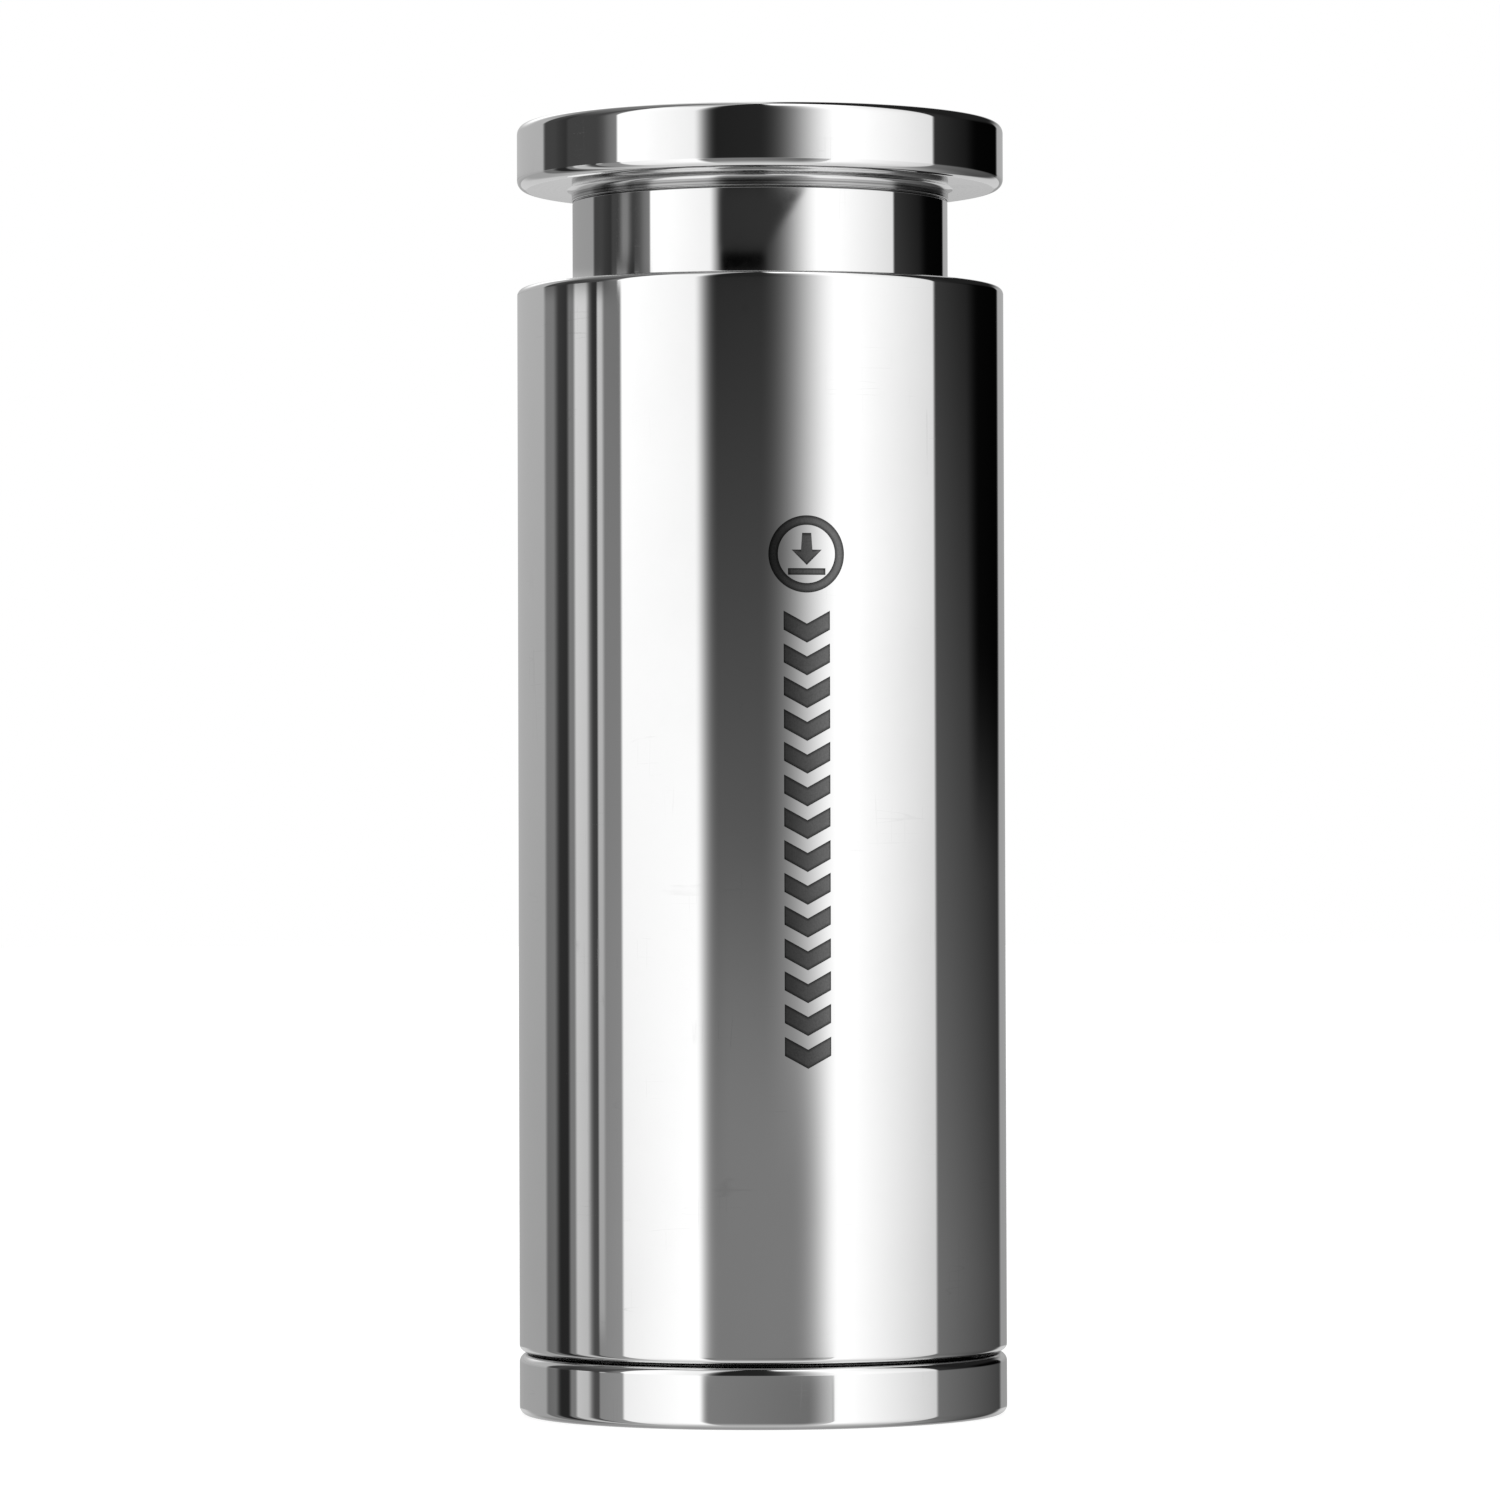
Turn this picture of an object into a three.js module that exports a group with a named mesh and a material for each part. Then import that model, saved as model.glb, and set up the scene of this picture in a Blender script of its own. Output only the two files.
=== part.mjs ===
// Cylinder press mould in polished stainless steel: three turned pieces that come apart by hand.
// The base plug is the foot. The sleeve stands on the plug's flange, located by a spigot in its bore.
// The plunger is solid, runs down the bore until it rests on the spigot, and its head stays proud of the sleeve.
// Millimetres, +Z up, origin at the centre of the foot's flat underside.

import * as THREE from "three";

// Driving dimensions
const BORE_DIAMETER = 38.8;
const WALL_THICKNESS = 5.6;
const SLEEVE_LENGTH = 109;
const FLANGE_THICKNESS = 6.3;
const SPIGOT_HEIGHT = 8; // reach of the plug into the bore
const NECK_LENGTH = 10.2; // stretch of plunger that shows between sleeve and head
const HEAD_THICKNESS = 6.7;

// Fits
const PLUNGER_CLEARANCE = 0.1; // radial, plunger in bore
const SPIGOT_CLEARANCE = 0.1; // radial, spigot in bore
const LAND_HEIGHT = 0.2; // raised ring that the sleeve stands on, which leaves the seam open outside it
const LAND_WIDTH = 2.4;

// Edges
const HEAD_ROUNDING = 1;
const SLEEVE_ROUNDING = 0.7;
const FLANGE_ROUNDING = 0.9;
const LEAD_IN = 0.5; // both ends of the bore, the spigot's top and the plunger's tip
const HEAD_FILLET = 0.5; // where the plunger meets the underside of its head

// Facets
const SEGMENTS = 96; // round each piece
const ARC_STEPS = 2; // a quarter circle is twice this many steps

// Sizes that follow
const boreRadius = BORE_DIAMETER / 2;
const outerRadius = boreRadius + WALL_THICKNESS; // head, sleeve and flange are flush
const plungerRadius = boreRadius - PLUNGER_CLEARANCE;
const spigotRadius = boreRadius - SPIGOT_CLEARANCE;
const landRadius = boreRadius + LAND_WIDTH;
const sleeveFoot = FLANGE_THICKNESS + LAND_HEIGHT;
const spigotTop = sleeveFoot + SPIGOT_HEIGHT;
const sleeveTop = sleeveFoot + SLEEVE_LENGTH;
const shaftLength = sleeveTop + NECK_LENGTH - spigotTop;

const mirrorSteel = new THREE.MeshStandardMaterial({ color: 0xc9cbcd, roughness: 0.08, metalness: 1 });

// A solid of revolution about +Z, from an outline with radius across and height up, set at the height of its foot.
function turned(name, outline, foot) {
  const geometry = new THREE.LatheGeometry(outline.getPoints(ARC_STEPS), SEGMENTS);
  geometry.rotateX(Math.PI / 2);
  const piece = new THREE.Mesh(geometry, mirrorSteel);
  piece.name = name;
  piece.position.z = foot;
  return piece;
}

// The outer face of a flush ring, from its lower to its upper height, with both of its edges rounded.
function roundedRim(outline, low, high, rounding) {
  const centre = outerRadius - rounding;
  outline.absarc(centre, low + rounding, rounding, -Math.PI / 2, 0, false);
  outline.absarc(centre, high - rounding, rounding, 0, Math.PI / 2, false);
}

// Flange, land and spigot in one piece, from the axis round to the axis.
function basePlug() {
  const outline = new THREE.Path();
  outline.moveTo(0, 0);
  outline.lineTo(outerRadius - FLANGE_ROUNDING, 0);
  roundedRim(outline, 0, FLANGE_THICKNESS, FLANGE_ROUNDING);
  outline.lineTo(landRadius, FLANGE_THICKNESS);
  outline.lineTo(landRadius, sleeveFoot);
  outline.lineTo(spigotRadius, sleeveFoot);
  outline.lineTo(spigotRadius, spigotTop - LEAD_IN);
  outline.lineTo(spigotRadius - LEAD_IN, spigotTop);
  outline.lineTo(0, spigotTop);
  return turned("base_plug", outline, 0);
}

// A plain tube with rounded edges outside and a lead-in at both ends of its bore.
function sleeve() {
  const outline = new THREE.Path();
  outline.moveTo(boreRadius + LEAD_IN, 0);
  outline.lineTo(outerRadius - SLEEVE_ROUNDING, 0);
  roundedRim(outline, 0, SLEEVE_LENGTH, SLEEVE_ROUNDING);
  outline.lineTo(boreRadius + LEAD_IN, SLEEVE_LENGTH);
  outline.lineTo(boreRadius, SLEEVE_LENGTH - LEAD_IN);
  outline.lineTo(boreRadius, LEAD_IN);
  outline.closePath();
  return turned("sleeve", outline, sleeveFoot);
}

// Solid shaft and head in one piece, from the axis at the tip to the axis on the head.
function plunger() {
  const headTop = shaftLength + HEAD_THICKNESS;
  const filletFoot = shaftLength - HEAD_FILLET;
  const outline = new THREE.Path();
  outline.moveTo(0, 0);
  outline.lineTo(plungerRadius - LEAD_IN, 0);
  outline.lineTo(plungerRadius, LEAD_IN);
  outline.lineTo(plungerRadius, filletFoot);
  outline.absarc(plungerRadius + HEAD_FILLET, filletFoot, HEAD_FILLET, Math.PI, Math.PI / 2, true);
  outline.lineTo(outerRadius - HEAD_ROUNDING, shaftLength);
  roundedRim(outline, shaftLength, headTop, HEAD_ROUNDING);
  outline.lineTo(0, headTop);
  return turned("plunger", outline, spigotTop);
}

const mould = new THREE.Group();
mould.add(basePlug(), sleeve(), plunger());

export default mould;
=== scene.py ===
import math

import bpy
import numpy as np
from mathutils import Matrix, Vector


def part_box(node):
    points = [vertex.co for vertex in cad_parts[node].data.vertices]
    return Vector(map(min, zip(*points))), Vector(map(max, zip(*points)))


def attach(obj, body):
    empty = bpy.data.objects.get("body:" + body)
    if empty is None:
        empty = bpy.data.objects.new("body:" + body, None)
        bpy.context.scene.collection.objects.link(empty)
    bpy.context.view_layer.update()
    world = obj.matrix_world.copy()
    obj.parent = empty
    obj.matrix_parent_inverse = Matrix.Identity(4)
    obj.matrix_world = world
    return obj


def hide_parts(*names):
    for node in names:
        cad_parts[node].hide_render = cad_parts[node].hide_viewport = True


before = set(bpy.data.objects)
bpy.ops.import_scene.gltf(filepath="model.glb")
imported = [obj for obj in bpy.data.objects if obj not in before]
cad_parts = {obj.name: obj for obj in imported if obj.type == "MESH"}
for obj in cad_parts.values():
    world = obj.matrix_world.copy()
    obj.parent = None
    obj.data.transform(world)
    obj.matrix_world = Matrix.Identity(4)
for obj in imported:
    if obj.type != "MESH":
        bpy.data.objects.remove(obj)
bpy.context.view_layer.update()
print("frame loaded:", ", ".join(sorted(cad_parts)))

mm = 0.001

# What the frame says about where the three pieces are
baseLow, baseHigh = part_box("base_plug")
sleeveLow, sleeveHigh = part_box("sleeve")
plungerLow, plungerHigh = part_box("plunger")
outerRadius = sleeveHigh.x

turning = {
    "segments": 360,  # quads round each piece
    "arcSteps": 16,  # quads across each rounded edge
    "crisp": 0.06 * mm,  # rounding of an edge that is only deburred
    "edgePolish": 3,  # how fast a turned finish fades into a polished edge
}


cameraShot = {
    "distance": 766 * mm,
    "height": 54.1 * mm,
    "lensMm": 178.8,
    "pitchDegrees": 1.046,
    "panDegrees": 0.089,  # to the left
    "rollDegrees": 0.17,
}


def makeCamera():
    # Forward is turned by pan and pitch from +Y, then right and up turn about it by the roll.
    pitch = math.radians(cameraShot["pitchDegrees"])
    pan = math.radians(cameraShot["panDegrees"])
    roll = math.radians(cameraShot["rollDegrees"])
    level = np.array([-math.sin(pan), math.cos(pan), 0.0])
    forward = level * math.cos(pitch) + np.array([0.0, 0.0, math.sin(pitch)])
    right = np.cross(forward, [0.0, 0.0, 1.0])
    right /= np.linalg.norm(right)
    up = np.cross(right, forward)
    rolledUp = up * math.cos(roll) + right * math.sin(roll)
    rolledRight = right * math.cos(roll) - up * math.sin(roll)
    place = np.eye(4)
    place[:3, 0] = rolledRight
    place[:3, 1] = rolledUp
    place[:3, 2] = -forward
    place[:3, 3] = [0.0, -cameraShot["distance"], cameraShot["height"]]
    data = bpy.data.cameras.new("camera")
    data.lens = cameraShot["lensMm"]
    data.sensor_width = 36
    data.clip_start = 0.01
    data.clip_end = 50
    camera = bpy.data.objects.new("camera", data)
    camera.matrix_world = [list(row) for row in place.T]
    bpy.context.scene.collection.objects.link(camera)
    bpy.context.scene.camera = camera


makeCamera()
print("camera set")


def newNode(tree, kind, label="", **settings):
    node = tree.nodes.new(kind)
    node.label = label
    for name, value in settings.items():
        setattr(node, name, value)
    return node


def feed(tree, socket, value):
    # A socket gets a link from another socket, or a plain number or colour.
    if isinstance(value, bpy.types.NodeSocket):
        tree.links.new(value, socket)
    else:
        socket.default_value = value


def mathNode(tree, operation, a, b=0.0, label=""):
    node = newNode(tree, "ShaderNodeMath", label, operation=operation)
    feed(tree, node.inputs[0], a)
    feed(tree, node.inputs[1], b)
    return node.outputs[0]


def rampNode(tree, value, low, high, outLow=0.0, outHigh=1.0, shape="LINEAR"):
    node = newNode(tree, "ShaderNodeMapRange", interpolation_type=shape, clamp=True)
    values = {"Value": value, "From Min": low, "From Max": high, "To Min": outLow, "To Max": outHigh}
    for name, given in values.items():
        feed(tree, node.inputs[name], given)
    return node.outputs[0]


def mixNumbers(tree, factor, a, b):
    node = newNode(tree, "ShaderNodeMix", data_type="FLOAT")
    feed(tree, node.inputs[0], factor)
    feed(tree, node.inputs[2], a)
    feed(tree, node.inputs[3], b)
    return node.outputs[0]


def newGroup(name, inputs, outputs):
    # inputs maps a socket's name to its default: a number, or None for a vector.
    group = bpy.data.node_groups.new(name, "ShaderNodeTree")
    for socketName, default in inputs.items():
        kind = "NodeSocketVector" if default is None else "NodeSocketFloat"
        socket = group.interface.new_socket(name=socketName, in_out="INPUT", socket_type=kind)
        if default is not None:
            socket.default_value = default
    for socketName in outputs:
        group.interface.new_socket(name=socketName, in_out="OUTPUT", socket_type="NodeSocketFloat")
    entry = group.nodes.new("NodeGroupInput")
    leave = group.nodes.new("NodeGroupOutput")
    return group, entry.outputs, leave.inputs


def placeGroup(tree, group, label="", **values):
    node = newNode(tree, "ShaderNodeGroup", label, node_tree=group)
    for name, value in values.items():
        feed(tree, node.inputs[name], value)
    return node.outputs


# Everything that the mirror polish reflects
studio = {
    "lowElevation": -3.0,  # degrees, where a card has its low greys
    "highElevation": 5.6,  # degrees, where it has its high greys
    "gamma": 2.2,
    "exposure": 1.27,  # makes up for what the steel takes
    "roomLow": 0.6,
    "roomHigh": 0.67,
}

# Cards stand round the object. Azimuth 0 is where the camera stands and grows to its right, in degrees.
# Greys are as seen: (left, right) at the low elevation, then at the high one. A later card hides an
# earlier one.
studioCards = [
    {"name": "rear left wall", "sides": (-200, -123.5), "soft": (1, 2),
     "low": (0.57, 0.57), "high": (0.57, 0.57),
     "foot": 4.7, "head": 5.42, "softEnds": 0.06},
    {"name": "rear right wall", "sides": (151, 200), "soft": (3, 1),
     "low": (0.56, 0.54), "high": (0.62, 0.64)},
    {"name": "left flag", "sides": (-123.5, -69), "soft": (2, 1.5),
     "low": (0.4, 0.54), "high": (0.48, 0.42)},
    {"name": "left flag, upper", "sides": (-123.5, -69), "soft": (2, 1.5),
     "low": (0.26, 0.26), "high": (0.26, 0.26),
     "foot": 4.62, "softEnds": 0.15},
    {"name": "left flag, glow", "sides": (-79.5, -69), "soft": (4.5, 1),
     "low": (0.36, 0.52), "high": (0.36, 0.52),
     "foot": 4.62, "softEnds": 0.15},
    {"name": "left dark strip", "sides": (-113, -103.6), "soft": (3, 1.6),
     "low": (0.16, 0.16), "high": (0.25, 0.2)},
    {"name": "left light strip", "sides": (-98.7, -89.4), "soft": (1.3, 1.8),
     "low": (0.74, 0.7), "high": (0.82, 0.8),
     "head": 4.66, "softEnds": 0.2},
    {"name": "left light strip, upper", "sides": (-95, -87), "soft": (3, 3),
     "low": (0.48, 0.48), "high": (0.48, 0.48),
     "foot": 4.8, "head": 5.42, "softEnds": 0.1},
    {"name": "left dark line", "sides": (-87.6, -83.3), "soft": (1.8, 0.8),
     "low": (0.3, 0.28), "high": (0.2, 0.16),
     "head": 4.8, "softEnds": 0.2},
    {"name": "left bright line", "sides": (-83.3, -79.6), "soft": (0.8, 1.3),
     "low": (0.62, 0.62), "high": (0.78, 0.74),
     "foot": -3.4, "head": 4.6, "softEnds": 0.15},
    {"name": "left window", "sides": (-69.1, -25.5), "soft": (1, 6),
     "low": (0.92, 1.03), "high": (1.03, 0.92)},
    {"name": "left window, upper", "sides": (-71.0, -60), "soft": (0.8, 1),
     "low": (1, 1), "high": (1, 1),
     "foot": 4.62, "softEnds": 0.1},
    {"name": "camera side", "sides": (-25.5, 45), "soft": (6, 6),
     "low": (0.47, 0.41), "high": (0.14, 0.19)},
    {"name": "right window", "sides": (20, 90.4), "soft": (21, 1.4),
     "low": (1.1, 0.79), "high": (1.1, 0.86)},
    {"name": "camera side, low", "sides": (-22, 24), "soft": (8, 12),
     "low": (0.46, 0.47), "high": (0.46, 0.47),
     "foot": -60, "head": -1, "softEnds": 1.6},
    {"name": "right flag", "sides": (90, 151), "soft": (1.4, 3),
     "low": (0.42, 0.25), "high": (0.2, 0.0)},
    {"name": "right flag, upper", "sides": (120, 151), "soft": (7, 3),
     "low": (0.08, 0.04), "high": (0.05, 0.04),
     "foot": 1.0, "softEnds": 1.1},
    {"name": "slanted flag", "sides": (-24, 28), "soft": (3, 3),
     "low": (0.19, 0.19), "high": (0.19, 0.21),
     "foot": 4.9, "head": 5.37, "softEnds": 0.06, "slant": 55},
    {"name": "lens", "sides": (-23, 2), "soft": (3, 4),
     "low": (0.0, 0.0), "high": (0.0, 0.04),
     "foot": 4.72, "head": 4.87, "softEnds": 0.02},
    {"name": "table edge", "sides": (-27.5, 32.8), "soft": (2.5, 1),
     "low": (0.47, 0.4), "high": (0.47, 0.4),
     "foot": -60, "head": -3.72, "softEnds": 0.08},
    {"name": "table sheen", "sides": (21, 32.8), "soft": (8, 1),
     "low": (0.43, 0.74), "high": (0.43, 0.74),
     "foot": -60, "head": -3.72, "softEnds": 0.08},
    {"name": "rear haze", "sides": (150, 200), "soft": (8, 1),
     "low": (0.75, 0.75), "high": (0.75, 0.75),
     "foot": -60, "head": -5.2, "softEnds": 0.6, "mirrored": True},
    {"name": "table", "sides": (-200, 200), "soft": (1, 1),
     "low": (0.8, 0.8), "high": (0.8, 0.8),
     "foot": -120, "head": -47, "softEnds": 25},
    {"name": "ceiling, left", "sides": (-72, -30), "soft": (4, 4),
     "low": (0.62, 0.62), "high": (0.62, 0.62),
     "foot": 60, "head": 120, "softEnds": 12},
    {"name": "ceiling, right", "sides": (8, 90), "soft": (6, 1),
     "low": (1.05, 1.05), "high": (1.05, 1.05),
     "foot": 60, "head": 120, "softEnds": 10},
    {"name": "overhead window", "sides": (150, 200), "soft": (10, 1),
     "low": (1.05, 1.05), "high": (1.05, 1.05),
     "foot": 16, "head": 100, "softEnds": 8, "mirrored": True},
    {"name": "overhead window, top", "sides": (150, 200), "soft": (10, 1),
     "low": (0.86, 0.86), "high": (0.86, 0.86),
     "foot": 42, "head": 100, "softEnds": 10, "mirrored": True},
    {"name": "rear left, upper", "sides": (-150, -85), "soft": (10, 8),
     "low": (0.45, 0.45), "high": (0.45, 0.45),
     "foot": 40, "head": 120, "softEnds": 20},
    {"name": "rear right, upper", "sides": (108, 173), "soft": (10, 5),
     "low": (0.14, 0.14), "high": (0.14, 0.14),
     "foot": 14, "head": 120, "softEnds": 6},
]


def cardGroup():
    # grey = under outside the card. Inside, it is read from the four corner greys: across by azimuth and
    # up by elevation. The mask is the product of four smooth steps, one for each side. The right side may
    # slant.
    group, given, out = newGroup(
        "studio card",
        {
            "Azimuth": 0.0, "Elevation": 0.0, "Rise": 0.0, "Under": 0.0,
            "Left": 0.0, "Right": 1.0, "Soft Left": 1.0, "Soft Right": 1.0,
            "Foot": -120.0, "Head": 120.0, "Soft Ends": 1.0, "Slant": 0.0,
            "Low Left": 0.0, "Low Right": 0.0, "High Left": 0.0, "High Right": 0.0,
        },
        ["Grey"],
    )
    below = mathNode(group, "SUBTRACT", given["Elevation"], given["Head"])
    lean = mathNode(group, "MULTIPLY", below, given["Slant"])
    rightSide = mathNode(group, "ADD", given["Right"], lean)

    def step(value, at, soft, rising):
        low = mathNode(group, "SUBTRACT", at, soft)
        high = mathNode(group, "ADD", at, soft)
        ends = (0.0, 1.0) if rising else (1.0, 0.0)
        return rampNode(group, value, low, high, *ends, shape="SMOOTHSTEP")

    masks = [
        step(given["Azimuth"], given["Left"], given["Soft Left"], True),
        step(given["Azimuth"], rightSide, given["Soft Right"], False),
        step(given["Elevation"], given["Foot"], given["Soft Ends"], True),
        step(given["Elevation"], given["Head"], given["Soft Ends"], False),
    ]
    mask = masks[0]
    for other in masks[1:]:
        mask = mathNode(group, "MULTIPLY", mask, other)
    across = rampNode(group, given["Azimuth"], given["Left"], given["Right"])
    low = mixNumbers(group, across, given["Low Left"], given["Low Right"])
    high = mixNumbers(group, across, given["High Left"], given["High Right"])
    grey = mixNumbers(group, given["Rise"], low, high)
    group.links.new(mixNumbers(group, mask, given["Under"], grey), out["Grey"])
    return group


def makeStudio():
    # The world's colour for reflections is the cards' grey to the power of gamma. The camera itself sees
    # plain white.
    scene = bpy.context.scene
    scene.view_settings.view_transform = "Standard"
    world = bpy.data.worlds.new("studio")
    scene.world = world
    world.use_nodes = True
    tree = world.node_tree
    tree.nodes.clear()
    direction = newNode(tree, "ShaderNodeTexCoord").outputs["Generated"]
    parts = newNode(tree, "ShaderNodeSeparateXYZ")
    tree.links.new(direction, parts.inputs[0])
    backwards = mathNode(tree, "MULTIPLY", parts.outputs["Y"], -1.0)
    bearing = mathNode(tree, "ARCTAN2", parts.outputs["X"], backwards)
    azimuth = mathNode(tree, "MULTIPLY", bearing, 180 / math.pi, "azimuth")
    rising = mathNode(tree, "ARCSINE", parts.outputs["Z"])
    elevation = mathNode(tree, "MULTIPLY", rising, 180 / math.pi, "elevation")
    mirrored = mathNode(tree, "ABSOLUTE", azimuth)
    rise = rampNode(tree, elevation, studio["lowElevation"], studio["highElevation"])
    grey = mixNumbers(tree, rise, studio["roomLow"], studio["roomHigh"])
    group = cardGroup()
    for card in studioCards:
        grey = placeGroup(
            tree, group, card["name"], **{
                "Azimuth": mirrored if card.get("mirrored") else azimuth,
                "Elevation": elevation, "Rise": rise, "Under": grey,
                "Left": card["sides"][0], "Right": card["sides"][1],
                "Soft Left": card["soft"][0], "Soft Right": card["soft"][1],
                "Foot": card.get("foot", -120.0), "Head": card.get("head", 120.0),
                "Soft Ends": card.get("softEnds", 1.0), "Slant": card.get("slant", 0.0),
                "Low Left": card["low"][0], "Low Right": card["low"][1],
                "High Left": card["high"][0], "High Right": card["high"][1],
            }
        )["Grey"]
    radiance = mathNode(tree, "POWER", grey, studio["gamma"])
    reflected = newNode(tree, "ShaderNodeBackground", "what the steel reflects")
    reflected.inputs["Strength"].default_value = studio["exposure"]
    tree.links.new(radiance, reflected.inputs["Color"])
    backdrop = newNode(tree, "ShaderNodeBackground", "what the camera sees")
    backdrop.inputs["Color"].default_value = (1, 1, 1, 1)
    seen = newNode(tree, "ShaderNodeMixShader")
    tree.links.new(newNode(tree, "ShaderNodeLightPath").outputs["Is Camera Ray"], seen.inputs[0])
    tree.links.new(reflected.outputs[0], seen.inputs[1])
    tree.links.new(backdrop.outputs[0], seen.inputs[2])
    tree.links.new(seen.outputs[0], newNode(tree, "ShaderNodeOutputWorld").inputs["Surface"])


makeStudio()
print("studio lit by", len(studioCards), "cards")


floorSheet = {"radius": 6.0, "drop": 0.02 * mm, "glow": 0.86, "shade": 0.42, "sides": 96}


def makeFloor():
    # A round sheet just under the base. It glows near white, and its diffuse share leaves a faint shadow.
    angles = np.arange(floorSheet["sides"]) * 2 * math.pi / floorSheet["sides"]
    rim = np.column_stack([np.cos(angles), np.sin(angles), np.zeros_like(angles)]) * floorSheet["radius"]
    rim[:, 2] = baseLow.z - floorSheet["drop"]
    mesh = bpy.data.meshes.new("floor")
    mesh.from_pydata(rim.tolist(), [], [list(range(len(rim)))])
    floor = bpy.data.objects.new("floor", mesh)
    bpy.context.scene.collection.objects.link(floor)
    floor.visible_glossy = False
    material = bpy.data.materials.new("pale floor")
    material.use_nodes = True
    tree = material.node_tree
    tree.nodes.clear()
    glow = newNode(tree, "ShaderNodeEmission")
    glow.inputs["Strength"].default_value = floorSheet["glow"]
    shade = newNode(tree, "ShaderNodeBsdfDiffuse")
    shade.inputs["Color"].default_value = (floorSheet["shade"],) * 3 + (1,)
    both = newNode(tree, "ShaderNodeAddShader")
    tree.links.new(glow.outputs[0], both.inputs[0])
    tree.links.new(shade.outputs[0], both.inputs[1])
    underneath = newNode(tree, "ShaderNodeMixShader")
    tree.links.new(newNode(tree, "ShaderNodeNewGeometry").outputs["Backfacing"], underneath.inputs[0])
    tree.links.new(both.outputs[0], underneath.inputs[1])
    tree.links.new(newNode(tree, "ShaderNodeBsdfTransparent").outputs[0], underneath.inputs[2])
    tree.links.new(underneath.outputs[0], newNode(tree, "ShaderNodeOutputMaterial").inputs["Surface"])
    mesh.materials.append(material)


makeFloor()
print("floor laid")


def roundedOutline(corners, closed):
    # Each corner becomes an arc of its own rounding that touches both of its sides: its centre is
    # rounding / sin(half the corner's angle) along the bisector, and it starts rounding / tan(half) back.
    # corners: radius, height, rounding and the finish of the side that starts there, 0 polished, 1 turned;
    # from 1 to 2 it is turned and darkened with painted shade, for seams and grooves.
    # Returns points, normals, finish, which fades towards the middle of each arc, and edge, which is the
    # sine of the way round an outer corner.
    given = np.array(corners, float)
    point, rounding, finishAndShade = given[:, :2], given[:, 2:3], given[:, 3:]
    ahead = np.roll(point, -1, axis=0) - point
    ahead /= np.maximum(np.linalg.norm(ahead, axis=1), 1e-9)[:, None]
    facing = np.column_stack([ahead[:, 1], -ahead[:, 0]])  # outward normal of the side that starts here
    picked = np.arange(len(point)) if closed else np.arange(1, len(point) - 1)
    corner, onward, back = point[picked], ahead[picked], -np.roll(ahead, 1, axis=0)[picked]
    radius = rounding[picked]
    half = np.arccos(np.clip((onward * back).sum(1), -1, 1))[:, None] / 2
    bisector = onward + back
    bisector /= np.linalg.norm(bisector, axis=1)[:, None]
    centre = corner + bisector * radius / np.sin(half)
    first = corner + back * radius / np.tan(half) - centre
    last = corner + onward * radius / np.tan(half) - centre
    start = np.arctan2(first[:, 1], first[:, 0])
    sweep = (np.arctan2(last[:, 1], last[:, 0]) - start + math.pi) % (2 * math.pi) - math.pi
    share = np.linspace(0, 1, turning["arcSteps"] + 1)
    angle = start[:, None] + sweep[:, None] * share
    spoke = np.stack([np.cos(angle), np.sin(angle)], axis=2)
    points = (centre[:, None] + spoke * radius[:, None]).reshape(-1, 2)
    normals = (spoke * np.sign(sweep)[:, None, None]).reshape(-1, 2)
    fade = turning["edgePolish"]
    before = np.roll(finishAndShade, 1, axis=0)
    finishesAndShade = (before[picked] * (1 - share) ** fade + finishAndShade[picked] * share**fade).ravel()
    edges = (np.sin(math.pi * share) * (sweep > 0)[:, None]).ravel()
    if not closed:
        points = np.vstack([point[:1], points, point[-1:]])
        normals = np.vstack([facing[:1], normals, facing[-2:-1]])
        finishesAndShade = np.concatenate([finishAndShade[0], finishesAndShade, finishAndShade[-2]])
        edges = np.concatenate([[0.0], edges, [0.0]])
    return points, normals, finishesAndShade, edges


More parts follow.
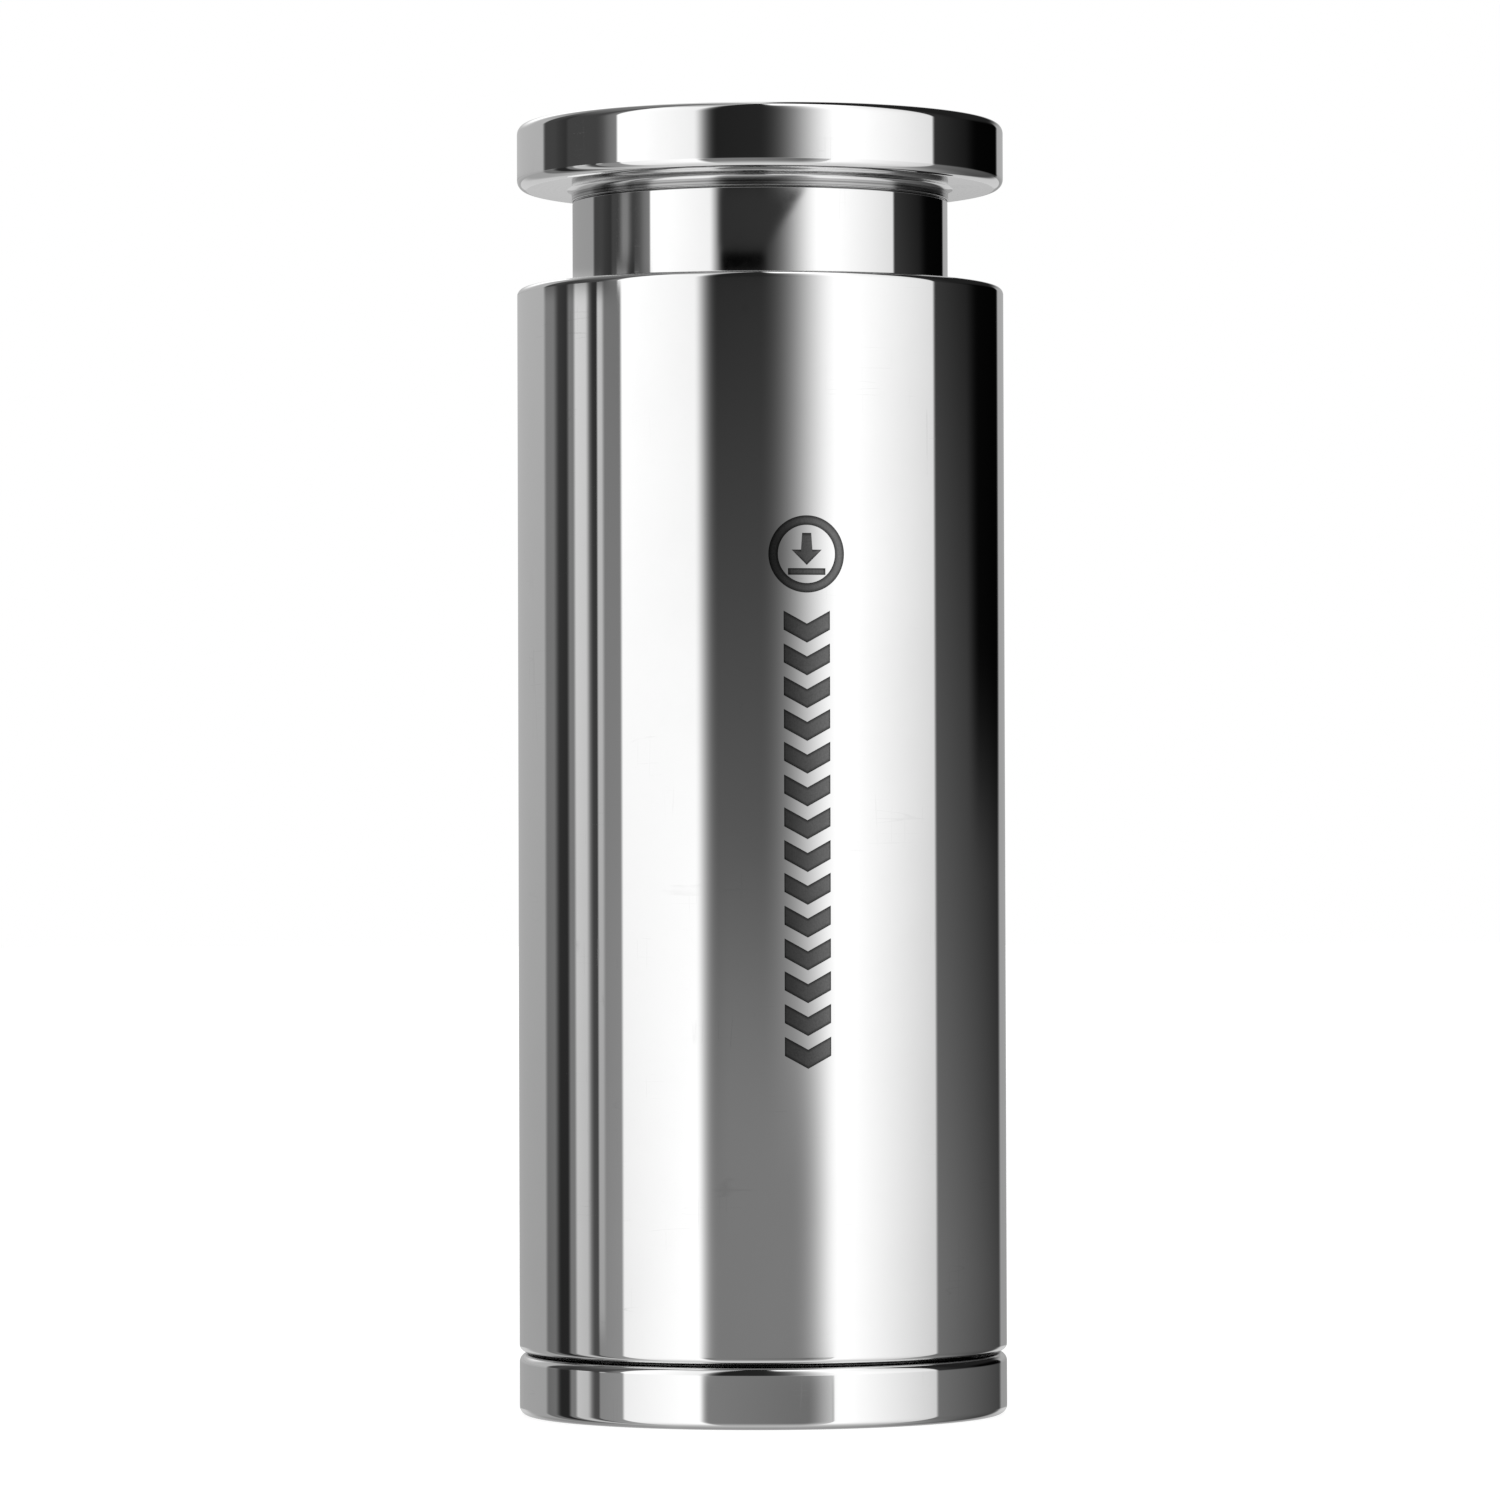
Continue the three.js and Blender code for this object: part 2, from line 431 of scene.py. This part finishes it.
def turnedPiece(name, corners, closed):
    # A point of the outline at radius r and height z goes to (r cos a, r sin a, z) for each angle a.
    # Normals turn with it, so the flats stay flat up to their edges. Ends on the axis are single points.
    points, normals, finishesAndShade, edges = roundedOutline(corners, closed)
    count = turning["segments"]
    angle = np.arange(count) * 2 * math.pi / count
    spread = np.column_stack([np.cos(angle), np.sin(angle)])
    rings = points if closed else points[1:-1]
    ringNormals = normals if closed else normals[1:-1]

    def turn(flat):
        around = flat[:, None, :1] * spread[None]
        height = np.broadcast_to(flat[:, None, 1:], around.shape[:2] + (1,))
        return np.concatenate([around, height], axis=2).reshape(-1, 3)

    place, facing = turn(rings), turn(ringNormals)
    finishAndShade = np.repeat(finishesAndShade if closed else finishesAndShade[1:-1], count)
    edge = np.repeat(edges if closed else edges[1:-1], count)
    number = np.arange(len(rings) * count).reshape(len(rings), count)
    lower = number if closed else number[:-1]
    upper = np.roll(number, -1, axis=0) if closed else number[1:]
    quads = np.stack([lower, np.roll(lower, -1, axis=1), np.roll(upper, -1, axis=1), upper], axis=2)
    faces = quads.reshape(-1, 4).tolist()
    if not closed:
        foot, top = len(place), len(place) + 1
        place = np.vstack([place, [0, 0, points[0, 1]], [0, 0, points[-1, 1]]])
        facing = np.vstack([facing, [0, 0, normals[0, 1]], [0, 0, normals[-1, 1]]])
        finishAndShade = np.append(finishAndShade, [finishesAndShade[0], finishesAndShade[-1]])
        edge = np.append(edge, [0.0, 0.0])
        inner, outer = number[0], number[-1]
        faces += np.column_stack([np.full(count, foot), np.roll(inner, -1), inner]).tolist()
        faces += np.column_stack([outer, np.roll(outer, -1), np.full(count, top)]).tolist()
    mesh = bpy.data.meshes.new(name)
    mesh.from_pydata(place.tolist(), [], faces)
    mesh.polygons.foreach_set("use_smooth", np.ones(len(mesh.polygons), bool))
    for attribute, values in (("turnedAndSeamShade", finishAndShade), ("edge", edge)):
        layer = mesh.attributes.new(attribute, "FLOAT", "POINT")
        layer.data.foreach_set("value", values.astype(np.float32))
    mesh.normals_split_custom_set_from_vertices(facing.tolist())
    piece = bpy.data.objects.new(name, mesh)
    bpy.context.scene.collection.objects.link(piece)
    return piece


def hazeGroup():
    # Haze = broad, faint wipe marks plus a finer cloud, both from noise, as a share from 0 to 1.
    group, given, out = newGroup("polish haze", {"Place": None, "Scale": 60.0, "Fine": 0.3}, ["Haze"])
    broad = newNode(group, "ShaderNodeTexNoise", "wipe marks")
    fine = newNode(group, "ShaderNodeTexNoise", "fine cloud")
    finer = mathNode(group, "MULTIPLY", given["Scale"], 9.0)
    for node, scale, detail in ((broad, given["Scale"], 3.0), (fine, finer, 2.0)):
        group.links.new(given["Place"], node.inputs["Vector"])
        feed(group, node.inputs["Scale"], scale)
        node.inputs["Detail"].default_value = detail
    wide = rampNode(group, broad.outputs[0], 0.42, 0.75, shape="SMOOTHSTEP")
    narrow = rampNode(group, fine.outputs[0], 0.45, 0.8)
    group.links.new(mixNumbers(group, given["Fine"], wide, narrow), out["Haze"])
    return group


def scratchGroup():
    # A scratch is where a noise stretched along one way crosses its middle value: a thin, long line.
    # One noise is stretched up the axis and one round it, each kept only in patches of a third noise.
    group, given, out = newGroup("hairlines", {"Place": None, "Width": 0.012, "Spread": 0.6}, ["Lines"])
    found = []
    for label, stretch in (("up the axis", (620, 620, 16)), ("round the axis", (34, 34, 900))):
        mapping = newNode(group, "ShaderNodeMapping", label)
        mapping.inputs["Scale"].default_value = stretch
        group.links.new(given["Place"], mapping.inputs["Vector"])
        noise = newNode(group, "ShaderNodeTexNoise", label)
        noise.inputs["Scale"].default_value = 1.0
        noise.inputs["Detail"].default_value = 0.0
        group.links.new(mapping.outputs[0], noise.inputs["Vector"])
        off = mathNode(group, "ABSOLUTE", mathNode(group, "SUBTRACT", noise.outputs[0], 0.5))
        found.append(rampNode(group, off, 0.0, given["Width"], 1.0, 0.0))
    patches = newNode(group, "ShaderNodeTexNoise", "patches")
    patches.inputs["Scale"].default_value = 160.0
    group.links.new(given["Place"], patches.inputs["Vector"])
    full = mathNode(group, "ADD", given["Spread"], 0.06)
    kept = rampNode(group, patches.outputs[0], given["Spread"], full)
    lines = mathNode(group, "MULTIPLY", mathNode(group, "MAXIMUM", found[0], found[1]), kept)
    group.links.new(lines, out["Lines"])
    return group


def ringsGroup():
    # Lathe marks: noise read along one line only, distance from the axis plus height, so that each value
    # is a ring.
    group, given, out = newGroup("lathe rings", {"Place": None, "Pitch": 0.0003, "Broken": 0.15}, ["Rings"])
    parts = newNode(group, "ShaderNodeSeparateXYZ")
    group.links.new(given["Place"], parts.inputs[0])
    squares = [mathNode(group, "MULTIPLY", parts.outputs[axis], parts.outputs[axis]) for axis in "XY"]
    radius = mathNode(group, "SQRT", mathNode(group, "ADD", *squares))
    along = mathNode(group, "DIVIDE", mathNode(group, "ADD", radius, parts.outputs["Z"]), given["Pitch"])
    ring = newNode(group, "ShaderNodeTexNoise", "rings", noise_dimensions="1D")
    ring.inputs["Scale"].default_value = 1.0
    ring.inputs["Detail"].default_value = 2.0
    group.links.new(along, ring.inputs["W"])
    blotch = newNode(group, "ShaderNodeTexNoise", "broken rings")
    blotch.inputs["Scale"].default_value = 180.0
    group.links.new(given["Place"], blotch.inputs["Vector"])
    group.links.new(mixNumbers(group, given["Broken"], ring.outputs[0], blotch.outputs[0]), out["Rings"])
    return group


def wearGroup():
    # Wear = the edge attribute, thinned by noise, so that an edge is rubbed bright in places.
    group, given, out = newGroup("edge wear", {"Place": None, "Edge": 0.0, "Amount": 0.5}, ["Wear"])
    noise = newNode(group, "ShaderNodeTexNoise", "where it was knocked")
    noise.inputs["Scale"].default_value = 320.0
    noise.inputs["Detail"].default_value = 3.0
    group.links.new(given["Place"], noise.inputs["Vector"])
    rubbed = rampNode(group, noise.outputs[0], mathNode(group, "SUBTRACT", 1.0, given["Amount"]), 1.0)
    sharp = mathNode(group, "POWER", given["Edge"], 2.0)
    group.links.new(mathNode(group, "MULTIPLY", sharp, rubbed), out["Wear"])
    return group


def speckGroup():
    # Specks are the cores of a few random cells: a pit where the distance to its centre is small.
    inputs = {"Place": None, "Scale": 260.0, "Size": 0.06, "Share": 0.05}
    group, given, out = newGroup("specks", inputs, ["Specks"])
    cells = newNode(group, "ShaderNodeTexVoronoi", "pits")
    group.links.new(given["Place"], cells.inputs["Vector"])
    feed(group, cells.inputs["Scale"], given["Scale"])
    parts = newNode(group, "ShaderNodeSeparateColor")
    group.links.new(cells.outputs["Color"], parts.inputs[0])
    chosen = mathNode(group, "LESS_THAN", parts.outputs[0], given["Share"])
    wide = mathNode(group, "MULTIPLY", given["Size"], 2.0)
    core = rampNode(group, cells.outputs["Distance"], given["Size"], wide, 1.0, 0.0)
    group.links.new(mathNode(group, "MULTIPLY", core, chosen), out["Specks"])
    return group


finishGroups = {
    "haze": hazeGroup(),
    "hairlines": scratchGroup(),
    "rings": ringsGroup(),
    "wear": wearGroup(),
    "specks": speckGroup(),
}


def polishedSteel(name, look):
    # Roughness = mirror + haze + hairlines, and turned faces swap the mirror for lathe rings.
    # Colour = steel, dimmed in specks and turned grooves and lifted on rubbed edges. A finish from 1 to 2
    # also darkens it with painted shade, in the seams where two pieces meet and in the collar's groove, and
    # a painted shadow darkens the lowest rim towards the bottom, for the shaded table under it.
    material = bpy.data.materials.new(name)
    material.use_nodes = True
    tree = material.node_tree
    shader = tree.nodes["Principled BSDF"]
    shader.inputs["Metallic"].default_value = 1.0
    place = newNode(tree, "ShaderNodeTexCoord").outputs["Object"]
    # this attribute is 0 polished to 1 turned, and from 1 to 2 it also carries painted shade for seams and
    # the collar's groove
    turnedAndSeamShade = newNode(tree, "ShaderNodeAttribute", "turnedAndSeamShade", attribute_name="turnedAndSeamShade").outputs["Fac"]
    edge = newNode(tree, "ShaderNodeAttribute", "edge", attribute_name="edge").outputs["Fac"]
    haze = placeGroup(tree, finishGroups["haze"], Place=place, Scale=look["hazeScale"],
                      Fine=look["hazeFine"])["Haze"]
    lines = placeGroup(tree, finishGroups["hairlines"], Place=place, Spread=look["hairlineSpread"])["Lines"]
    rings = placeGroup(tree, finishGroups["rings"], Place=place, Pitch=look["ringPitch"])["Rings"]
    wear = placeGroup(tree, finishGroups["wear"], Place=place, Edge=edge, Amount=look["wear"])["Wear"]
    specks = placeGroup(tree, finishGroups["specks"], Place=place, Share=look["speckShare"],
                        Size=look["speckSize"])["Specks"]

    hazed = mathNode(tree, "MULTIPLY", haze, look["hazeRoughness"])
    scratched = mathNode(tree, "MULTIPLY", lines, look["hairlineRoughness"])
    polish = mathNode(tree, "ADD", look["roughness"], hazed)
    polish = mathNode(tree, "ADD", polish, scratched)
    cut = rampNode(tree, rings, 0.3, 0.7, *look["turnedRoughness"])
    rough = mixNumbers(tree, turnedAndSeamShade, polish, cut)
    rough = mixNumbers(tree, wear, rough, look["wearRoughness"])
    rough = mixNumbers(tree, specks, rough, look["speckRoughness"])
    tree.links.new(rough, shader.inputs["Roughness"])

    dim = mathNode(tree, "MULTIPLY", haze, look["hazeDim"])
    dim = mathNode(tree, "ADD", dim, mathNode(tree, "MULTIPLY", lines, look["hairlineDim"]))
    dim = mathNode(tree, "ADD", dim, mathNode(tree, "MULTIPLY", specks, look["speckDim"]))
    groove = mathNode(tree, "MULTIPLY", turnedAndSeamShade, rampNode(tree, rings, 0.35, 0.65, look["turnedDim"], 0.0))
    dim = mathNode(tree, "ADD", dim, groove)
    # painted shade: a finish from 1 to 2 darkens the faces in the seams between pieces and in the collar's
    # groove
    paintedSeamShade = rampNode(tree, turnedAndSeamShade, 1.0, 2.0, 0.0, look["seamShade"])
    dim = mathNode(tree, "ADD", dim, paintedSeamShade)
    # painted shadow: the lowest rim darkens towards the bottom, standing in for the shaded table that it
    # would reflect
    parts = newNode(tree, "ShaderNodeSeparateXYZ")
    tree.links.new(place, parts.inputs[0])
    contactShadow = rampNode(tree, parts.outputs["Z"], *look["contactShadowReach"], look["contactShadowDim"], 0.0)
    contactShadow = mathNode(tree, "MULTIPLY", contactShadow, mathNode(tree, "SUBTRACT", 1.0, turnedAndSeamShade))
    dim = mathNode(tree, "ADD", dim, contactShadow)
    dim = mathNode(tree, "SUBTRACT", dim, mathNode(tree, "MULTIPLY", wear, look["wearLift"]))
    colour = newNode(tree, "ShaderNodeMix", "steel", data_type="RGBA", clamp_factor=False)
    tree.links.new(dim, colour.inputs[0])
    colour.inputs[6].default_value = (*look["steel"], 1)
    colour.inputs[7].default_value = (0, 0, 0, 1)
    tree.links.new(colour.outputs[2], shader.inputs["Base Color"])

    height = mathNode(tree, "MULTIPLY", mathNode(tree, "MULTIPLY", turnedAndSeamShade, rings), look["ringDepth"])
    height = mathNode(tree, "SUBTRACT", height, mathNode(tree, "MULTIPLY", lines, look["hairlineDepth"]))
    height = mathNode(tree, "SUBTRACT", height, mathNode(tree, "MULTIPLY", specks, look["speckDepth"]))
    bump = newNode(tree, "ShaderNodeBump")
    bump.inputs["Distance"].default_value = 1.0
    tree.links.new(height, bump.inputs["Height"])
    tree.links.new(bump.outputs[0], shader.inputs["Normal"])
    return material


mirrorLook = {
    "steel": (0.8, 0.8, 0.8),
    "roughness": 0.018,
    "hazeScale": 70.0,
    "hazeFine": 0.25,
    "hazeRoughness": 0.022,
    "hazeDim": 0.025,
    "hairlineSpread": 0.6,
    "hairlineRoughness": 0.06,
    "hairlineDim": 0.05,
    "hairlineDepth": 0.00004 * mm,
    "ringPitch": 0.35 * mm,
    "ringDepth": 0.0008 * mm,
    "turnedRoughness": (0.12, 0.22),
    "turnedDim": 0.3,
    # painted shade in the seams and the collar's groove
    "seamShade": 0.6,
    "contactShadowReach": (0.2 * mm, 0.6 * mm),  # heights between which the painted contact shadow fades out
    "contactShadowDim": 0.6,
    "wear": 0.5,
    "wearRoughness": 0.12,
    "wearLift": 0.08,
    "speckShare": 0.0,
    "speckSize": 0.06,
    "speckDim": 0.7,
    "speckRoughness": 0.5,
    "speckDepth": 0.003 * mm,
}


plungerShape = {
    "shaftRadius": 19.3 * mm,
    "leadIn": 0.5 * mm,
    "headThickness": 6.7 * mm,
    "headRounding": 1.0 * mm,
    "fillet": 0.5 * mm,
    "collarHeight": 1.2 * mm,  # slightly wider ring where the shaft runs into the head
    "collarStep": 0.08 * mm,
    "grooveWidth": 0.22 * mm,  # relief under the collar
    "grooveDepth": 0.2 * mm,
}
plungerLook = dict(mirrorLook, hazeScale=90.0, speckShare=0.02)


def makePlunger():
    # Up the shaft from its tip, out along the fillet and the head's underside, and round the head.
    shape = plungerShape
    crisp = turning["crisp"]
    shaft = shape["shaftRadius"]
    ring, floor = shaft + shape["collarStep"], shaft - shape["grooveDepth"]
    top, tip = plungerHigh.z, plungerLow.z
    under = top - shape["headThickness"]
    collar = under - shape["collarHeight"]
    corners = [
        (0, tip, 0, 1.0),
        (shaft - shape["leadIn"], tip, crisp, 0.2),
        (shaft, tip + shape["leadIn"], crisp, 0.0),
        # finishes over 1 paint shade into the relief groove and onto the collar
        (shaft, collar - shape["grooveWidth"], crisp, 2.0),
        (floor, collar - shape["grooveWidth"], crisp, 2.0),
        (floor, collar, crisp, 2.0),
        (ring, collar, crisp, 1.5),
        (ring, under, shape["fillet"], 0.3),
        (outerRadius, under, shape["headRounding"], 0.0),
        (outerRadius, top, shape["headRounding"], 0.12),
        (0, top, 0, 0.12),
    ]
    plunger = turnedPiece("plunger_polished", corners, closed=False)
    plunger.data.materials.append(polishedSteel("plunger steel", plungerLook))
    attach(plunger, "plunger")
    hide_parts("plunger")


makePlunger()
print("plunger turned")


sleeveShape = {"boreRadius": 19.4 * mm, "rounding": 0.7 * mm, "leadIn": 0.5 * mm}
sleeveLook = dict(mirrorLook)


def makeSleeve():
    # Round the wall: foot, outside, top, then down the bore.
    shape = sleeveShape
    crisp, bore, leadIn = turning["crisp"], shape["boreRadius"], shape["leadIn"]
    foot, top = sleeveLow.z, sleeveHigh.z
    corners = [
        # finish 2 on the foot paints shade into the seam over the base
        (bore + leadIn, foot, crisp, 2.0),
        (outerRadius, foot, shape["rounding"], 0.0),
        (outerRadius, top, shape["rounding"], 0.2),
        (bore + leadIn, top, crisp, 0.2),
        (bore, top - leadIn, crisp, 0.15),
        (bore, foot + leadIn, crisp, 0.2),
    ]
    sleeve = turnedPiece("sleeve_polished", corners, closed=True)
    sleeve.data.materials.append(polishedSteel("sleeve steel", sleeveLook))
    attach(sleeve, "sleeve")
    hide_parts("sleeve")


makeSleeve()
print("sleeve turned")


markShape = {
    "turnDegrees": 10.5,  # from the front towards +X
    "ringHeight": 87.15 * mm,
    "ringRadius": 3.85 * mm,
    "stroke": 0.95 * mm,
    "arrowHalfWidth": 1.5 * mm,
    "arrowTop": 2.1 * mm,
    "arrowTip": -1.1 * mm,
    "barHeight": -1.75 * mm,
    "barHalfWidth": 1.9 * mm,
    "barStroke": 0.7,  # share of the stroke
    "shaftStroke": 1.1,  # share of the stroke
    "chevrons": 14,
    "columnTop": 81.5 * mm,
    "columnFoot": 35.9 * mm,
    "chevronHalfWidth": 2.35 * mm,
    "chevronStroke": 1.9 * mm,
    "slope": 0.55,  # rise of a chevron's arms
    "lift": 0.012 * mm,
    "sink": 0.03 * mm,
    "rim": 0.36 * mm,  # width of the darker border
    "rimShare": 0.35,  # most of a strip's width that it takes
    "stations": 13,  # points along a bar, and nearly twice as many along a chevron
    "ringStations": 104,
}


def wrappedStrip(across, upper, lower, closed=False):
    # A strip lies between two edge curves, each an array of (arc length, height). Its section is a flat
    # box: upper edge, two lines inside the rim, lower edge, and both edges again under the sleeve's surface.
    # An arc length s at height z goes to (r sin(turn + s / R), -r cos(turn + s / R), z).
    # Returns places, the rim value and faces. Open strips are capped at both ends.
    shape = markShape
    rim = np.minimum(shape["rim"] / np.linalg.norm(upper - lower, axis=1), shape["rimShare"])[:, None]
    rows = [upper, upper + (lower - upper) * rim, lower + (upper - lower) * rim, lower, lower, upper]
    raised, sunk = outerRadius + shape["lift"], outerRadius - shape["sink"]
    reach = np.array([raised, raised, raised, raised, sunk, sunk])[:, None]
    flat = np.array(rows)
    angle = math.radians(shape["turnDegrees"]) + flat[:, :, 0] / outerRadius
    place = np.stack([reach * np.sin(angle), -reach * np.cos(angle), flat[:, :, 1]], axis=2)
    border = np.tile(np.array([1.0, 0.0, 0.0, 1.0, 1.0, 1.0])[:, None], (1, len(across)))
    if not closed:
        border[:, [0, -1]] = 1.0
    number = np.arange(border.size).reshape(border.shape)
    here = number if closed else number[:, :-1]
    beyond = np.roll(number, -1, axis=1) if closed else number[:, 1:]
    quads = np.stack([here, np.roll(here, -1, axis=0), np.roll(beyond, -1, axis=0), beyond], axis=2)
    faces = quads.reshape(-1, 4).tolist()
    if not closed:
        faces += [number[::-1, 0].tolist(), number[:, -1].tolist()]
    return place.reshape(-1, 3), border.ravel(), faces


def markStrips():
    # Ring: r = outer and outer - stroke, round a full turn. Arrow: a shaft over a wedge whose foot is
    # tip + |s|. Bar: a straight strip. Column: chevrons whose height is foot + slope * |s|, where s is the
    # distance from the middle.
    shape = markShape
    stroke, count = shape["stroke"], shape["stations"]
    around = np.linspace(0, 2 * math.pi, shape["ringStations"], endpoint=False)
    spoke = np.column_stack([np.cos(around), np.sin(around)])
    ringCentre = np.array([0.0, shape["ringHeight"]])
    outer = ringCentre + spoke * shape["ringRadius"]
    inner = ringCentre + spoke * (shape["ringRadius"] - stroke)
    strips = [wrappedStrip(around, outer, inner, closed=True)]

    across = np.linspace(-1, 1, 2 * count + 1) * shape["arrowHalfWidth"]
    foot = shape["arrowTip"] + np.abs(across)
    shoulder = foot.max() + shape["sink"]
    top = np.where(np.abs(across) < shape["shaftStroke"] * stroke / 2, shape["arrowTop"], shoulder)
    lines = [np.column_stack([across, shape["ringHeight"] + edge]) for edge in (top, foot)]
    strips.append(wrappedStrip(across, *lines))

    across = np.linspace(-1, 1, count) * shape["barHalfWidth"]
    middle = shape["ringHeight"] + shape["barHeight"]
    halfBar = shape["barStroke"] * stroke / 2
    lines = [np.column_stack([across, np.full(count, middle + edge)]) for edge in (halfBar, -halfBar)]
    strips.append(wrappedStrip(across, *lines))

    across = np.linspace(-1, 1, 2 * count + 1) * shape["chevronHalfWidth"]
    bend = np.abs(across) * shape["slope"]
    room = shape["columnTop"] - shape["columnFoot"] - bend.max() - shape["chevronStroke"]
    for foot in shape["columnFoot"] + np.linspace(0, room, shape["chevrons"]):
        lines = [np.column_stack([across, foot + bend + edge]) for edge in (shape["chevronStroke"], 0.0)]
        strips.append(wrappedStrip(across, *lines))
    return strips


def etchedSteel(name):
    # Etched metal: darker and rougher than the polish round it, with a darker border and a fine grain.
    material = bpy.data.materials.new(name)
    material.use_nodes = True
    tree = material.node_tree
    shader = tree.nodes["Principled BSDF"]
    shader.inputs["Metallic"].default_value = 1.0
    place = newNode(tree, "ShaderNodeTexCoord").outputs["Object"]
    border = newNode(tree, "ShaderNodeAttribute", "border", attribute_name="edge").outputs["Fac"]
    grain = newNode(tree, "ShaderNodeTexNoise", "etch grain")
    grain.inputs["Scale"].default_value = etchedLook["grainScale"]
    grain.inputs["Detail"].default_value = 4.0
    tree.links.new(place, grain.inputs["Vector"])
    haze = placeGroup(tree, finishGroups["haze"], Place=place, Scale=etchedLook["cloudScale"])["Haze"]
    depth = mixNumbers(tree, border, *etchedLook["grey"])
    depth = mathNode(tree, "MULTIPLY", depth, rampNode(tree, grain.outputs[0], 0.3, 0.7, 0.88, 1.12))
    depth = mathNode(tree, "MULTIPLY", depth, rampNode(tree, haze, 0.0, 1.0, 1.06, 0.92))
    colour = newNode(tree, "ShaderNodeCombineColor")
    for socket in colour.inputs[:3]:
        feed(tree, socket, depth)
    tree.links.new(colour.outputs[0], shader.inputs["Base Color"])
    rough = rampNode(tree, grain.outputs[0], 0.3, 0.7, *etchedLook["roughness"])
    tree.links.new(rough, shader.inputs["Roughness"])
    bump = newNode(tree, "ShaderNodeBump")
    bump.inputs["Distance"].default_value = 1.0
    height = mathNode(tree, "MULTIPLY", grain.outputs[0], etchedLook["grainDepth"])
    tree.links.new(height, bump.inputs["Height"])
    tree.links.new(bump.outputs[0], shader.inputs["Normal"])
    return material


etchedLook = {
    "grey": (0.12, 0.03),  # inside, border
    "roughness": (0.06, 0.12),
    "grainScale": 5200.0,
    "grainDepth": 0.0012 * mm,
    "cloudScale": 420.0,
}


def makeMark():
    # All strips become one mesh: each strip's faces are counted on from the places before it.
    places, borders, faces = [], [], []
    before = 0
    for place, stripBorder, stripFaces in markStrips():
        places.append(place)
        borders.append(stripBorder)
        faces += [[corner + before for corner in face] for face in stripFaces]
        before += len(place)
    mesh = bpy.data.meshes.new("etched_mark")
    mesh.from_pydata(np.vstack(places).tolist(), [], faces)
    border = np.concatenate(borders).astype(np.float32)
    mesh.attributes.new("edge", "FLOAT", "POINT").data.foreach_set("value", border)
    mark = bpy.data.objects.new("etched_mark", mesh)
    bpy.context.scene.collection.objects.link(mark)
    mesh.materials.append(etchedSteel("etched steel"))
    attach(mark, "sleeve")


makeMark()
print("mark etched")


baseShape = {
    "rounding": 0.9 * mm,
    "landHeight": 0.2 * mm,
    "landRadius": 21.8 * mm,
    "spigotRadius": 19.3 * mm,
    "leadIn": 0.5 * mm,
}
baseLook = dict(mirrorLook, hazeScale=55.0)


def makeBasePlug():
    # Out along the underside, up the flange, in over the land, and up the spigot.
    shape = baseShape
    crisp, spigot, leadIn = turning["crisp"], shape["spigotRadius"], shape["leadIn"]
    seat, top = sleeveLow.z, baseHigh.z
    flangeTop = seat - shape["landHeight"]
    corners = [
        (0, baseLow.z, 0, 0.7),
        (outerRadius, baseLow.z, shape["rounding"], 0.0),
        # finish 2 on the flange top and the land paints shade into the seam under the sleeve
        (outerRadius, flangeTop, shape["rounding"], 2.0),
        (shape["landRadius"], flangeTop, crisp, 2.0),
        (shape["landRadius"], seat, crisp, 0.6),
        (spigot, seat, crisp, 0.3),
        (spigot, top - leadIn, crisp, 0.2),
        (spigot - leadIn, top, crisp, 0.8),
        (0, top, 0, 0.8),
    ]
    base = turnedPiece("base_plug_polished", corners, closed=False)
    base.data.materials.append(polishedSteel("base steel", baseLook))
    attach(base, "base")
    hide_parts("base_plug")


makeBasePlug()
print("base plug turned")
